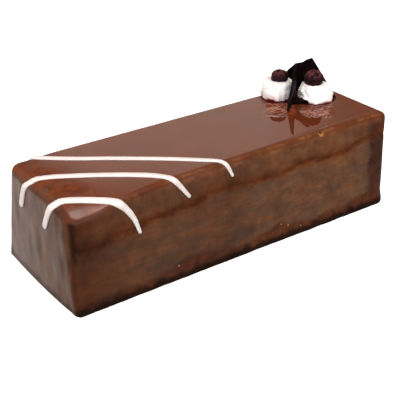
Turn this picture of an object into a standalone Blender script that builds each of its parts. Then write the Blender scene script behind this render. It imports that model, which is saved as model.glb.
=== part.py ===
"""Chocolate cherry cake: a long glazed loaf with three piped icing stripes, and at its far end
two cream swirls with a cherry each, a chocolate fin between them and a chocolate shard behind.

X runs along the cake, Y across it, Z up. The origin is under the middle of the cake's base.
"""
import math

import bmesh
import bpy
from mathutils import Matrix, Vector

# the loaf: its near end (-X) leans in towards the top, its far end (+X) leans out a little
BASE_NEAR = -0.154
BASE_FAR = 0.1515
TOP_NEAR = -0.151
TOP_FAR = 0.15413
BASE_WIDTH = 0.112
TOP_WIDTH = 0.0925
HEIGHT = 0.080
CORNER_RADIUS = 0.008        # upright corners, seen from above
EDGE_INSET = 0.0042          # how far the rounded rim of the top reaches in from the edge
CORNER_SEGMENTS = 5
EDGE_SEGMENTS = 4

# the top sags at the corner of the near end and the -Y side, and a little along the far rim
SAG_DEPTH = 0.008
SAG_LENGTH = 0.050           # how far the sag reaches along X
SAG_WIDTH = 0.035            # and across, along Y
SAG_CUTS_X = 7
SAG_CUTS_Y = 3
FAR_SAG_DEPTH = 0.0025
FAR_SAG_LENGTH = 0.020
FAR_SAG_CUTS = 3

GAP = 0.0003                 # clearance between pieces that rest on each other

# Icing stripes: waypoints on the top sheet, whose margins fold down over the rim, so a point
# past TOP_NEAR or TOP_WIDTH / 2 lies that much further down the end or the side.
STRIPES = {
    "icing_stripe_back": {
        "width": 0.0046, "height": 0.0014,
        "path_mm": [(-136, 60), (-125.5, 46), (-113, 31), (-83, 6.5), (-49, -20), (-31.5, -34),
                    (-19, -45), (-12, -58)],
    },
    "icing_stripe_middle": {
        "width": 0.0054, "height": 0.0016,
        "path_mm": [(-175, 24.5), (-160, 19.5), (-148, 12), (-134, 5.5), (-107, -10.5),
                    (-78.5, -30.5), (-65, -45), (-52, -63)],
    },
    "icing_stripe_front": {
        "width": 0.0065, "height": 0.0018,
        "path_mm": [(-176, -12), (-162, -18), (-150, -25.5), (-139, -29.5), (-123.5, -37),
                    (-110, -46.5), (-101, -61), (-96.5, -76)],
    },
}
STRIPE_FINE_STEP = 0.0012    # distance between cross sections over a rim and at both ends
STRIPE_COARSE_STEP = 0.0060  # and elsewhere
STRIPE_ARC_POINTS = 5        # steps over the rounded back of a cross section
STRIPE_BASE_POINTS = 3       # steps across its underside
STRIPE_FULLNESS = 0.8        # 1 is half an ellipse, less is fuller at the sides
STRIPE_BLUNT = 0.55          # length of the round start, in widths
STRIPE_TAIL = 4.0            # length of the tapered end, in widths

# Cream swirls with their cherries
SWIRLS = {
    "back": {"centre": (0.0997, 0.0340), "radius": 0.0140, "height": 0.0158, "start_deg": 120.0},
    "front": {"centre": (0.1239, 0.0116), "radius": 0.0154, "height": 0.0148, "start_deg": 170.0},
}
SWIRL_TURNS = 2.6            # turns of the piped rope from the base to the top
SWIRL_CREASE = 0.0015        # depth of the crease between two turns
SWIRL_FULLNESS = 0.55        # 1 is half an ellipsoid, less is more like a barrel
SWIRL_TAIL = 0.0012          # how far the rope's beginning sticks out at the base
SWIRL_SEGMENTS = 40
SWIRL_RINGS = 24
SWIRL_BASE_RINGS = 3         # how many of them lie in the flat base

CHERRIES = {
    "back": {"centre": (0.1016, 0.0340, 0.0977), "radius": 0.0075, "half_height": 0.0060},
    "front": {"centre": (0.1214, 0.0129, 0.0983), "radius": 0.0077, "half_height": 0.0077},
}
CHERRY_SEGMENTS = 20
CHERRY_RINGS = 12
CHERRY_DIMPLE = 0.0016       # depth of the stem dimple
CHERRY_DIMPLE_WIDTH = 0.45   # its width, in radii
CHERRY_CREASE = 0.00035      # height of the soft wrinkles

# Chocolate plates: outline in the plate's own plane, (distance along the foot, height) in mm
PLATE_THICKNESS = 0.0021
PLATE_ROUNDING = 0.00025
FIN = {
    "foot": (0.0838, 0.0019), "heading_deg": 37.6,
    "outline_mm": [(0, 0), (29, 0), (29.6, 31.6), (28.6, 32.5)],
}
SHARD = {
    "foot": (0.1382, 0.0012), "heading_deg": 118.0,
    "outline_mm": [(0, 0), (23.3, 31.6), (24.6, 31.9), (28.7, 29.9), (32.2, 27.1), (38.5, 25.0),
                   (45.6, 17.6), (43.5, 0)],
}

MM = 0.001


# ---------- helpers ----------

def clear_scene():
    for obj in list(bpy.data.objects):
        bpy.data.objects.remove(obj, do_unlink=True)


def make_collection(name):
    collection = bpy.data.collections.new(name)
    bpy.context.scene.collection.children.link(collection)
    return collection


def make_material(name, color, roughness):
    material = bpy.data.materials.new(name)
    material.use_nodes = True
    shader = material.node_tree.nodes["Principled BSDF"]
    shader.inputs["Base Color"].default_value = (*color, 1.0)
    shader.inputs["Roughness"].default_value = roughness
    shader.inputs["Metallic"].default_value = 0.0
    material.diffuse_color = (*color, 1.0)
    return material


def mesh_from_bmesh(name, bm):
    bm.normal_update()
    bmesh.ops.recalc_face_normals(bm, faces=bm.faces)
    mesh = bpy.data.meshes.new(name)
    bm.to_mesh(mesh)
    bm.free()
    return mesh


def object_from_bmesh(name, bm, collection, material, smooth_angle_deg=40.0):
    mesh = mesh_from_bmesh(name, bm)
    mesh.shade_smooth()
    mesh.set_sharp_from_angle(angle=math.radians(smooth_angle_deg))
    mesh.materials.append(material)
    obj = bpy.data.objects.new(name, mesh)
    collection.objects.link(obj)
    return obj


def cut_away(obj, cutter):
    boolean = obj.modifiers.new("cut_" + cutter.name, "BOOLEAN")
    boolean.operation = "DIFFERENCE"
    boolean.solver = "EXACT"
    boolean.object = cutter


def make_cutter(name, bm, collection):
    cutter = bpy.data.objects.new(name, mesh_from_bmesh(name, bm))
    cutter.display_type = "WIRE"
    cutter.hide_render = True
    collection.objects.link(cutter)
    return cutter


# ---------- the glazed surface ----------

def sag_at(x, y):
    """How far the top has sunk at (x, y): most at the near corner, a little at the far rim."""
    along = math.exp(-((x - TOP_NEAR) / SAG_LENGTH) ** 2)
    across = min(1.0, max(0.0, 1.0 - (y + TOP_WIDTH / 2) / SAG_WIDTH))
    far = min(1.0, max(0.0, 1.0 - (TOP_FAR - x) / FAR_SAG_LENGTH))
    return SAG_DEPTH * along * across ** 2 + FAR_SAG_DEPTH * far ** 2


def sink(point):
    """Sink a point with the sagging top: wholly at the rim, not at all at the base."""
    x, y, z = point
    return Vector((x, y, z - sag_at(x, y) * z / HEIGHT))


def fold(distance, half_top, half_base):
    """Fold a sheet over one rim: distance from the middle -> offset, height and normal angle."""
    side = math.copysign(1.0, distance)
    slope = math.atan((half_base - half_top) / HEIGHT)
    turn = math.pi / 2 - slope
    radius = EDGE_INSET / math.tan(turn / 2)
    past = abs(distance) - (half_top - EDGE_INSET)
    angle = min(max(past, 0.0) / radius, turn)
    offset = min(abs(distance), half_top - EDGE_INSET) + radius * math.sin(angle)
    height = HEIGHT - radius * (1.0 - math.cos(angle))
    down = max(0.0, past - radius * turn)
    return (side * (offset + down * math.sin(slope)), height - down * math.cos(slope),
            side * angle)


def on_glaze(sheet, lift):
    """The point of the glazed surface under a point of the folded sheet, raised by lift.

    No stripe comes near the far end, so along X the sheet only has to fold over the near one.
    """
    x, z_end, tilt_x = fold(sheet.x, -TOP_NEAR, -BASE_NEAR)
    y, z_side, tilt_y = fold(sheet.y, TOP_WIDTH / 2, BASE_WIDTH / 2)
    normal = Vector((math.sin(tilt_x), math.sin(tilt_y), math.cos(tilt_x) * math.cos(tilt_y)))
    return sink(Vector((x, y, min(z_end, z_side))) + normal.normalized() * lift)


# ---------- sub-parts ----------

def make_cake(collection, material):
    bm = bmesh.new()
    bmesh.ops.create_cube(bm, size=1.0)
    for vert in bm.verts:
        at_top, far = vert.co.z > 0, vert.co.x > 0
        near_x, far_x, width = ((TOP_NEAR, TOP_FAR, TOP_WIDTH) if at_top
                                else (BASE_NEAR, BASE_FAR, BASE_WIDTH))
        vert.co = (far_x if far else near_x, vert.co.y * width, HEIGHT if at_top else 0.0)
    uprights = [e for e in bm.edges if abs(e.verts[0].co.z - e.verts[1].co.z) > HEIGHT / 2]
    bmesh.ops.bevel(bm, geom=uprights, offset=CORNER_RADIUS, segments=CORNER_SEGMENTS,
                    profile=0.5, affect="EDGES", clamp_overlap=True)
    rim = [e for e in bm.edges if all(v.co.z > HEIGHT - GAP for v in e.verts)]
    bmesh.ops.bevel(bm, geom=rim, offset=EDGE_INSET, segments=EDGE_SEGMENTS,
                    profile=0.5, affect="EDGES", clamp_overlap=True)
    for i in range(1, SAG_CUTS_X + 1):
        slice_mesh(bm, TOP_NEAR + 2.6 * SAG_LENGTH * i / SAG_CUTS_X, "X")
    for i in range(1, FAR_SAG_CUTS + 1):
        slice_mesh(bm, TOP_FAR - FAR_SAG_LENGTH * i / FAR_SAG_CUTS, "X")
    for i in range(1, SAG_CUTS_Y + 1):
        slice_mesh(bm, -TOP_WIDTH / 2 + SAG_WIDTH * i / SAG_CUTS_Y, "Y")
    for vert in bm.verts:
        vert.co = sink(vert.co)
    return object_from_bmesh("glazed_cake", bm, collection, material)


def slice_mesh(bm, position, axis):
    """Add an edge loop across the mesh where a plane at right angles to the axis meets it."""
    normal = Vector((1, 0, 0)) if axis == "X" else Vector((0, 1, 0))
    geometry = list(bm.verts) + list(bm.edges) + list(bm.faces)
    bmesh.ops.bisect_plane(bm, geom=geometry, plane_co=normal * position, plane_no=normal)


def smooth_path(waypoints, step):
    """Points about a step apart along a Catmull-Rom curve through the waypoints."""
    ends = [2 * waypoints[0] - waypoints[1], 2 * waypoints[-1] - waypoints[-2]]
    knots = [ends[0]] + waypoints + [ends[1]]
    points = []
    for a, b, c, d in zip(knots, knots[1:], knots[2:], knots[3:]):
        count = max(2, round((c - b).length / step))
        for i in range(count):
            t = i / count
            points.append(0.5 * (2 * b + (c - a) * t + (2 * a - 5 * b + 4 * c - d) * t ** 2
                                 + (3 * b - a - 3 * c + d) * t ** 3))
    return points + [waypoints[-1]]


def stripe_scale(travelled, total, width):
    """A stripe's fullness: round at its start, drawn out to a point at its end."""
    start = min(1.0, travelled / (STRIPE_BLUNT * width))
    end = min(1.0, (total - travelled) / (STRIPE_TAIL * width))
    return max(0.12, math.sqrt(1.0 - (1.0 - start) ** 2) * (0.35 + 0.65 * end)
               * math.sqrt(min(1.0, (total - travelled) / (STRIPE_BLUNT * width) + 0.02)))


def near_rim(sheet, margin):
    past_end = TOP_NEAR + EDGE_INSET - sheet.x
    past_side = abs(sheet.y) - (TOP_WIDTH / 2 - EDGE_INSET)
    return any(-margin < past < 2 * EDGE_INSET + margin for past in (past_end, past_side))


def stripe_section(sheet, heading, width, height):
    """One domed cross section of a stripe, square to its heading on the sheet."""
    across = Vector((-heading.y, heading.x)) * (width / 2)
    ring = []
    for i in range(STRIPE_ARC_POINTS + 1):
        angle = math.pi * i / STRIPE_ARC_POINTS
        spot = sheet + across * math.cos(angle)
        ring.append(on_glaze(spot, GAP + height * math.sin(angle) ** STRIPE_FULLNESS))
    for i in range(1, STRIPE_BASE_POINTS):
        spot = sheet + across * (2 * i / STRIPE_BASE_POINTS - 1)
        ring.append(on_glaze(spot, GAP))
    return ring


def make_stripe(name, spec, collection, material):
    width, height = spec["width"], spec["height"]
    path = smooth_path([Vector(p) * MM for p in spec["path_mm"]], STRIPE_FINE_STEP)
    travelled = [0.0]
    for a, b in zip(path, path[1:]):
        travelled.append(travelled[-1] + (b - a).length)
    bm = bmesh.new()
    face = None
    reached = 0.0
    for i, sheet in enumerate(path):
        from_end = min(travelled[i], travelled[-1] - travelled[i])
        fine = near_rim(sheet, width) or from_end < width
        if 0 < i and not fine and travelled[i] - reached < STRIPE_COARSE_STEP:
            continue
        reached = travelled[i]
        heading = (path[min(i + 1, len(path) - 1)] - path[max(i - 1, 0)]).normalized()
        scale = stripe_scale(travelled[i], travelled[-1], width)
        ring = stripe_section(sheet, heading, width * scale, height * scale)
        if face is None:
            face = bm.faces.new([bm.verts.new(p) for p in ring])
            continue
        face = bmesh.ops.extrude_discrete_faces(bm, faces=[face])["faces"][0]
        for vert, position in zip(face.verts, ring):
            vert.co = position
    bmesh.ops.holes_fill(bm, edges=[e for e in bm.edges if e.is_boundary])
    return object_from_bmesh(name, bm, collection, material)


def swirl_point(direction, spec):
    """Place one point of a unit sphere on a piped swirl that stands on z = 0."""
    angle = math.atan2(direction.y, direction.x)
    ring = SWIRL_RINGS * (math.asin(max(-1.0, min(1.0, direction.z))) / math.pi + 0.5)
    level = max(0.0, ring - SWIRL_BASE_RINGS) / (SWIRL_RINGS - SWIRL_BASE_RINGS) * math.pi / 2
    across = max(0.0, math.cos(level)) ** SWIRL_FULLNESS
    climb = math.sin(level) ** SWIRL_FULLNESS
    from_start = (angle - math.radians(spec["start_deg"])) / (2 * math.pi)
    turn = climb * SWIRL_TURNS - from_start
    crease = SWIRL_CREASE * (1.0 - abs(math.sin(math.pi * turn)) ** 0.6)
    near_start = from_start - round(from_start)
    tail = SWIRL_TAIL * math.exp(-(near_start / 0.05) ** 2) * (1.0 - climb) ** 3
    reach = (spec["radius"] * (1.0 - 0.10 * climb) - crease + tail) * across
    reach *= min(1.0, ring / SWIRL_BASE_RINGS)
    return Vector((reach * math.cos(angle), reach * math.sin(angle), spec["height"] * climb))


def make_swirl(name, spec, collection, material):
    bm = bmesh.new()
    bmesh.ops.create_uvsphere(bm, u_segments=SWIRL_SEGMENTS, v_segments=SWIRL_RINGS, radius=1.0)
    for vert in bm.verts:
        vert.co = swirl_point(vert.co.normalized(), spec)
        vert.co += Vector((*spec["centre"], HEIGHT + GAP))
    return object_from_bmesh(name, bm, collection, material, smooth_angle_deg=60.0)


def cherry_bmesh(spec, grow=0.0, wrinkled=True):
    """A cherry, or with grow the room that it needs."""
    bm = bmesh.new()
    bmesh.ops.create_uvsphere(bm, u_segments=CHERRY_SEGMENTS, v_segments=CHERRY_RINGS, radius=1.0)
    for vert in bm.verts:
        direction = vert.co.normalized()
        angle = math.atan2(direction.y, direction.x)
        from_top = math.acos(max(-1.0, min(1.0, direction.z)))
        radius, half_height = spec["radius"] + grow, spec["half_height"] + grow
        sunk = 0.0
        if wrinkled:
            sunk = CHERRY_DIMPLE * math.exp(-(from_top / CHERRY_DIMPLE_WIDTH) ** 2)
            radius -= CHERRY_CREASE * (1.0 + math.cos(5 * angle + 2.0 * direction.z)) / 2
        vert.co = Vector((direction.x * radius, direction.y * radius,
                          direction.z * half_height - sunk)) + Vector(spec["centre"])
    return bm


def make_cherry(name, spec, collection, material):
    return object_from_bmesh(name, cherry_bmesh(spec), collection, material,
                             smooth_angle_deg=80.0)


def plate_placement(obj, spec):
    """Stand a plate, drawn flat with its foot along X, on the glaze along its heading."""
    obj.rotation_euler = (math.pi / 2, 0.0, math.radians(spec["heading_deg"]))
    obj.location = (*spec["foot"], HEIGHT + GAP + PLATE_ROUNDING)


def make_plate(name, spec, collection, material):
    curve = bpy.data.curves.new(name, "CURVE")
    curve.dimensions = "2D"
    curve.fill_mode = "BOTH"
    curve.extrude = PLATE_THICKNESS / 2 - PLATE_ROUNDING
    curve.bevel_depth = PLATE_ROUNDING
    curve.bevel_resolution = 0
    spline = curve.splines.new("POLY")
    spline.points.add(len(spec["outline_mm"]) - 1)
    for point, (along, up) in zip(spline.points, spec["outline_mm"]):
        point.co = (along * MM, up * MM, 0.0, 1.0)
    spline.use_cyclic_u = True
    curve.materials.append(material)
    obj = bpy.data.objects.new(name, curve)
    collection.objects.link(obj)
    plate_placement(obj, spec)
    return obj


def behind_shard(collection):
    """The space behind the shard's front face, which the front swirl is pressed flat against."""
    size = 0.08
    heading = math.radians(SHARD["heading_deg"])
    back = Vector((math.sin(heading), -math.cos(heading), 0.0))
    middle = Vector((*SHARD["foot"], HEIGHT)) + back * (size / 2 - PLATE_THICKNESS / 2 - GAP)
    bm = bmesh.new()
    bmesh.ops.create_cube(bm, size=size)
    bmesh.ops.rotate(bm, verts=bm.verts, matrix=Matrix.Rotation(heading, 3, "Z"))
    bmesh.ops.translate(bm, verts=bm.verts, vec=middle)
    return make_cutter("behind_shard", bm, collection)


def main():
    clear_scene()
    cake = make_collection("chocolate_cherry_cake")
    cutters = make_collection("cutters")
    glaze = make_material("chocolate_glaze", (0.17, 0.058, 0.026), 0.12)
    icing = make_material("white_icing", (0.90, 0.80, 0.74), 0.35)
    cream = make_material("whipped_cream", (0.90, 0.89, 0.85), 0.55)
    cherry = make_material("dark_cherry", (0.09, 0.008, 0.014), 0.20)
    chocolate = make_material("dark_chocolate", (0.020, 0.010, 0.010), 0.30)

    make_cake(cake, glaze)
    for name, spec in STRIPES.items():
        make_stripe(name, spec, cake, icing)
    swirls = {}
    for place, spec in SWIRLS.items():
        swirls[place] = make_swirl("cream_swirl_" + place, spec, cake, cream)
        nest = make_cutter("nest_" + place, cherry_bmesh(CHERRIES[place], GAP, False), cutters)
        cut_away(swirls[place], nest)
    cut_away(swirls["front"], behind_shard(cutters))
    for place, spec in CHERRIES.items():
        make_cherry("cherry_" + place, spec, cake, cherry)
    make_plate("chocolate_fin", FIN, cake, chocolate)
    make_plate("chocolate_shard", SHARD, cake, chocolate)


main()
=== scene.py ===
import math

import bmesh
import bpy
from mathutils import Matrix, Vector, noise
from mathutils.bvhtree import BVHTree


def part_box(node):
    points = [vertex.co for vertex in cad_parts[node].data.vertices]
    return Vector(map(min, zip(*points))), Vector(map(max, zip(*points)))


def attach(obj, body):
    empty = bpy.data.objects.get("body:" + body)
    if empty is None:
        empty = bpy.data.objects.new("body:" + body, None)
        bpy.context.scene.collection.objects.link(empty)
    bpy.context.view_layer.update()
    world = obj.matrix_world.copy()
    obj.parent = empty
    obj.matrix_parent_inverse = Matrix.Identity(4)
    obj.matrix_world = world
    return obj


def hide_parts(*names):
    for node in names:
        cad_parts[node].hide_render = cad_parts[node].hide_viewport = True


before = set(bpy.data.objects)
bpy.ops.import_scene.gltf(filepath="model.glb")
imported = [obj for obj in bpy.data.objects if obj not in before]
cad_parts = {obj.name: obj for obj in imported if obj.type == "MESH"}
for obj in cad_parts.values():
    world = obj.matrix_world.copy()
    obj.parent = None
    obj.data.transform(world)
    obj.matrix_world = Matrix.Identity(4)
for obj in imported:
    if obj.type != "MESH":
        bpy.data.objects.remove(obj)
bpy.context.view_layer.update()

mm = 0.001
cakeLow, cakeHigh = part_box("glazed_cake")
cakeHeight = cakeHigh.z
print("frame loaded:", len(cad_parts), "pieces")


class Wire:  # a socket that can take part in sums
    def __init__(self, board, socket):
        self.board, self.socket = board, socket

    def sum(self, operation, *terms):
        return self.board.add("ShaderNodeMath", {"operation": operation}, dict(enumerate(terms)))

    def __add__(self, other):
        return self.sum("ADD", self, other)

    def __sub__(self, other):
        return self.sum("SUBTRACT", self, other)

    def __rsub__(self, other):
        return self.sum("SUBTRACT", other, self)

    def __mul__(self, other):
        return self.sum("MULTIPLY", self, other)

    __radd__, __rmul__ = __add__, __mul__

    def ease(self, start, end, low=0.0, high=1.0):  # smooth step from low to high
        return self.board.add("ShaderNodeMapRange", {"interpolation_type": "SMOOTHSTEP"},
                              {"Value": self, "From Min": start, "From Max": end,
                               "To Min": low, "To Max": high})


class Board:  # one node tree, wired a node at a time
    def __init__(self, tree):
        self.tree = tree
        tree.nodes.clear()

    def add(self, kind, settings=None, inputs=None, output=0):
        node = self.tree.nodes.new(kind)
        for name, value in (settings or {}).items():
            setattr(node, name, value)
        for name, value in (inputs or {}).items():
            if isinstance(value, Wire):
                self.tree.links.new(value.socket, node.inputs[name])
            else:
                node.inputs[name].default_value = value
        return Wire(self, node.outputs[output]) if len(node.outputs) else node

    def blend(self, factor, first, second, how="MIX"):
        first, second = (c if isinstance(c, Wire) else (*c, 1.0) for c in (first, second))
        return self.add("ShaderNodeMix", {"data_type": "RGBA", "blend_type": how},
                        {0: factor, 6: first, 7: second}, 2)

    def mask(self, name):  # a number kept on the mesh's points
        return self.add("ShaderNodeAttribute", {"attribute_name": name}, output="Fac")

    def place(self, scale=(1.0, 1.0, 1.0), centre=(0.0, 0.0, 0.0), turn=(0.0, 0.0, 0.0)):
        spot = self.add("ShaderNodeTexCoord", output="Object")
        return self.add("ShaderNodeMapping", {"vector_type": "TEXTURE"},
                        {"Vector": spot, "Location": centre, "Rotation": turn,
                         "Scale": [1.0 / s for s in scale]})

    def speckle(self, where, size, detail=3.0, roughness=0.5, distortion=0.0):  # noise, 0 to 1
        return self.add("ShaderNodeTexNoise", {"noise_dimensions": "3D"},
                        {"Vector": where, "Scale": 1.0 / size, "Detail": detail,
                         "Roughness": roughness, "Distortion": distortion})

    def bump(self, height, depth, below=None):
        inputs = {"Height": height, "Distance": depth}
        if below is not None:
            inputs["Normal"] = below
        return self.add("ShaderNodeBump", inputs=inputs)


def newFinish(name):
    material = bpy.data.materials.new(name)
    material.use_nodes = True
    return material, Board(material.node_tree)


def closeFinish(board, shader):
    board.add("ShaderNodeOutputMaterial", inputs={"Surface": shader})


maskNames = ("top", "groove", "panel", "upper", "end", "rim", "low", "swirlRing", "paintedReflection", "blush",
             "gloss", "tone", "matte")
glazeLook = {
    "top": (0.090, 0.0205, 0.0068), "topRed": (0.106, 0.0205, 0.0056),
    "blush": (0.150, 0.0340, 0.0070), "blushDark": (0.066, 0.0120, 0.0040),
    # the rounded rims are tan: the thinner glaze there, and partly a painted highlight
    "rimTan": (0.165, 0.0560, 0.0210), "rimRed": (0.105, 0.0260, 0.0070),
    "upper": (0.138, 0.0500, 0.0190), "upperDark": (0.114, 0.0350, 0.0095),
    "window": (0.138, 0.0490, 0.0175), "windowGrey": (0.092, 0.0410, 0.0225),
    "windowDark": (0.080, 0.0220, 0.0056),
    "crust": (0.092, 0.0190, 0.0024), "crustDark": (0.034, 0.0062, 0.0010),
    # orange flecks for the crust: painted glints
    "paintedGlint": (0.170, 0.0520, 0.0080),
    "end": (0.086, 0.0340, 0.0158), "endRed": (0.057, 0.0136, 0.0034),
    "groove": (0.088, 0.0235, 0.0050), "grooveDark": (0.050, 0.0110, 0.0020),
    # the foot colour is near black: partly the darker pooled glaze, partly painted shade along the bottom
    # and in the near corner's crease
    "swirlFootRed": (0.050, 0.0020, 0.0030), "foot": (0.009, 0.0038, 0.0020),
    # colours of the painted reflection of the cream swirls: a dark ground with tan streaks
    "paintedReflection": (0.105, 0.0160, 0.0050), "reflectionStreak": (0.225, 0.0620, 0.0210),
    "toneDark": (0.38, 0.30, 0.26), "toneLight": (0.81, 0.87, 0.84),
    "bandDark": (0.40, 0.34, 0.38), "bandLight": (1.0, 1.0, 1.0),
    "cloudShade": 0.20, "seamShade": 0.14, "combShade": 0.06, "grainShade": 0.08,
    "glossyRough": 0.03, "plainRough": 0.30, "blotchRough": 0.2, "blushRough": 0.05,
    "dullRough": 0.5, "dullShine": 0.06, "ior": 1.47,
    "combDepth": 0.00006, "grainDepth": 0.00008, "streamDepth": 0.0011,
}
evenly = (1.0, 1.0, 1.0)
glazePatterns = {  # size, detail, roughness, distortion, stretch along each axis, turn
    "clouds": (0.026, 4.0, 0.55, 0.0, evenly, 0.0),
    "blotch": (0.009, 4.0, 0.60, 0.5, evenly, 0.0),
    "comb": (0.0034, 3.0, 0.55, 0.6, (1.0, 1.0, 0.25), 0.0),
    "layers": (0.0100, 4.0, 0.60, 0.8, (0.25, 0.25, 1.0), 0.0),
    "grain": (0.0016, 3.0, 0.65, 0.0, evenly, 0.0),
    "folds": (0.0090, 3.0, 0.50, 0.6, (1.0, 1.0, 0.4), 0.0),
    "seams": (0.0070, 3.0, 0.60, 1.2, (0.22, 0.22, 1.0), 0.0),
    # the streaks of the painted reflection of the cream
    "reflectionStreaks": (0.0044, 3.0, 0.60, 1.8, (0.45, 1.0, 1.0), -0.30),
    "streams": (0.0060, 2.0, 0.50, 0.8, evenly, 0.0),
}
glazeDots = (  # place, radius and colour of the little dots in the glaze: the orange ones are painted glints, the black one is painted shade in the pit, the last two are dark specks
    ((78.1, -45.8, 78.2), 2.5, (0.400, 0.1700, 0.0450)), ((78.3, -44.9, 78.9), 1.9, (0.002, 0.001, 0.001)),
    ((-67.0, -54.9, 11.4), 0.9, (0.260, 0.150, 0.080)), ((32.5, -54.6, 14.0), 0.9, (0.250, 0.120, 0.050)),
    ((39.8, -55.0, 10.9), 1.0, (0.300, 0.150, 0.060)), ((52.5, -55.5, 6.9), 0.9, (0.260, 0.120, 0.050)),
    ((-44.0, -52.8, 26.0), 0.6, (0.020, 0.006, 0.003)), ((12.0, -51.5, 38.0), 0.5, (0.020, 0.006, 0.003)),
)


def glazeFinish():
    look = glazeLook
    material, board = newFinish("chocolateGlaze")
    top, groove, panel, upper, end, rim, low, swirlRing, paintedReflection, blush, gloss, tone, matte = (
        board.mask(name) for name in maskNames)
    clouds, blotch, comb, layers, grain, folds, seams, reflectionStreaks, streams = (
        board.speckle(board.place(scale=stretch, turn=(0.0, 0.0, turn)), *pattern)
        for *pattern, stretch, turn in glazePatterns.values())
    toned = tone.ease(0.0, 0.6)
    window = board.blend(layers.ease(0.38, 0.62), look["window"], look["windowGrey"])
    window = board.blend(blotch.ease(0.40, 0.68, 0.0, 0.5) * tone.ease(0.0, 0.6, 0.3, 1.0),
                         window, look["windowDark"])
    above = board.blend(folds.ease(0.34, 0.66), look["upper"], look["upperDark"])
    above = board.blend(blotch.ease(0.46, 0.68, 0.0, 0.6), above, look["windowDark"])
    crust = board.blend(blotch.ease(0.34, 0.62), look["crustDark"], look["crust"])
    # painted glints: small orange flecks in the crust
    crust = board.blend(grain.ease(0.60, 0.74, 0.0, 0.7), crust, look["paintedGlint"])
    side = board.blend(panel, crust, window)
    side = board.blend(upper, side, above)
    side = board.blend(1.0, side, board.blend(tone, look["toneDark"], look["toneLight"]), "MULTIPLY")
    band = board.blend(blotch.ease(0.36, 0.60), look["grooveDark"], look["groove"])
    band = board.blend(1.0, band, board.blend(toned, look["bandDark"], look["bandLight"]), "MULTIPLY")
    side = board.blend(groove, side, band)
    # painted shade: the darkest core of the groove, over the glaze's darker red along it
    side = board.blend(groove.ease(0.80, 1.0, 0.0, 0.6) * toned, side, look["grooveDark"])
    side = board.blend(end, side, board.blend(folds.ease(0.36, 0.64), look["end"], look["endRed"]))
    # painted shade: the foot of the sides goes near black, and so does the crease at the near corner
    side = board.blend(low, side, look["foot"])
    shades = ((clouds, look["cloudShade"]), (seams * (1.0 - end), look["seamShade"]),
              (comb * (1.0 - end), look["combShade"]), (grain, look["grainShade"]))
    for noisy, spread in shades:  # each pattern darkens and lightens the side a little
        shade = board.blend(noisy.ease(0.3, 0.7), (1.0 - spread,) * 3, (1.0 + spread,) * 3)
        side = board.blend(1.0, side, shade, "MULTIPLY")
    upon = board.blend(clouds.ease(0.35, 0.7), look["top"], look["topRed"])
    color = board.blend(top, side, upon)
    patchy = board.blend(blotch.ease(0.38, 0.60), look["blushDark"], look["blush"])
    color = board.blend(blush * clouds.ease(0.36, 0.56, 0.2, 0.9), color, patchy)
    # tan along the rounded rim: the thinner glaze there and partly a painted highlight; the paler streak on
    # the front rim is a painted highlight
    edge = board.blend(blotch.ease(0.40, 0.60), look["rimTan"], look["rimRed"])
    color = board.blend(rim * clouds.ease(0.3, 0.6, 0.4, 1.0) * tone.ease(0.0, 0.6, 0.35, 1.0), color, edge)
    # painted reflection of the cream swirls, as tan streaks on the glaze before each swirl
    reflectionStreak = reflectionStreaks.ease(0.45, 0.55)
    color = board.blend(paintedReflection, color, board.blend(reflectionStreak, look["paintedReflection"], look["reflectionStreak"]))
    # a dark red ring on the glaze around the foot of each swirl
    color = board.blend(swirlRing, color, look["swirlFootRed"])
    # small dots: painted glints, and painted shade in the pit
    for spot, size, tint in glazeDots:
        away = board.add("ShaderNodeVectorMath", {"operation": "LENGTH"},
                         {0: board.place(centre=Vector(spot) * mm)}, "Value")
        color = board.blend(away.ease(0.3 * size * mm, 1.3 * size * mm, 0.96, 0.0), color, tint)
    soft = 1.0 - gloss
    rough = gloss.ease(0.0, 1.0, look["plainRough"], look["glossyRough"])
    rough = rough + (blotch - 0.4) * soft * look["blotchRough"] + blush * look["blushRough"]
    fine = board.bump((comb - 0.5) * soft * (1.0 - end), look["combDepth"])
    fine = board.bump((grain - 0.5) * soft, look["grainDepth"], below=fine)
    fine = board.bump((streams - 0.5) * paintedReflection, look["streamDepth"], below=fine)
    shiny = board.add("ShaderNodeBsdfPrincipled", inputs={
        "Base Color": color, "Roughness": rough, "IOR": look["ior"], "Normal": fine})
    dull = board.add("ShaderNodeBsdfPrincipled", inputs={
        "Base Color": color, "Roughness": look["dullRough"], "IOR": look["ior"],
        "Specular IOR Level": look["dullShine"], "Normal": fine})
    dulled = blush * clouds.ease(0.36, 0.60, 0.25, 0.75) + paintedReflection * (1.0 - reflectionStreak) + matte
    closeFinish(board, board.add("ShaderNodeMixShader", inputs={0: dulled, 1: shiny, 2: dull}))
    return material


icingLook = {
    "shade": (0.595, 0.535, 0.515), "light": (0.635, 0.58, 0.56), "spots": 0.004,
    "rough": 0.28, "roughSpread": 0.15, "glow": 0.25, "glowDepth": 0.0012, "depth": 0.0002,
}


def icingFinish():
    look = icingLook
    material, board = newFinish("whiteIcing")
    spots = board.speckle(board.place(), look["spots"])
    color = board.blend(spots.ease(0.3, 0.7), look["shade"], look["light"])
    shader = board.add("ShaderNodeBsdfPrincipled", inputs={
        "Base Color": color, "Roughness": spots * look["roughSpread"] + look["rough"], "IOR": 1.45,
        "Subsurface Weight": look["glow"], "Subsurface Radius": (1.0, 0.8, 0.6),
        "Subsurface Scale": look["glowDepth"], "Normal": board.bump(spots, look["depth"])})
    closeFinish(board, shader)
    return material


creamLook = {
    "shade": (0.84, 0.82, 0.80), "light": (0.88, 0.87, 0.86), "layer": (0.66, 0.58, 0.50),
    "pink": (0.50, 0.17, 0.16), "footDarkRed": (0.13, 0.015, 0.016), "layerHeight": 0.0034,
    "rough": 0.5, "glow": 0.5, "glowDepth": 0.003, "pores": 0.0009, "poreDepth": 0.00010,
}


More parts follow.
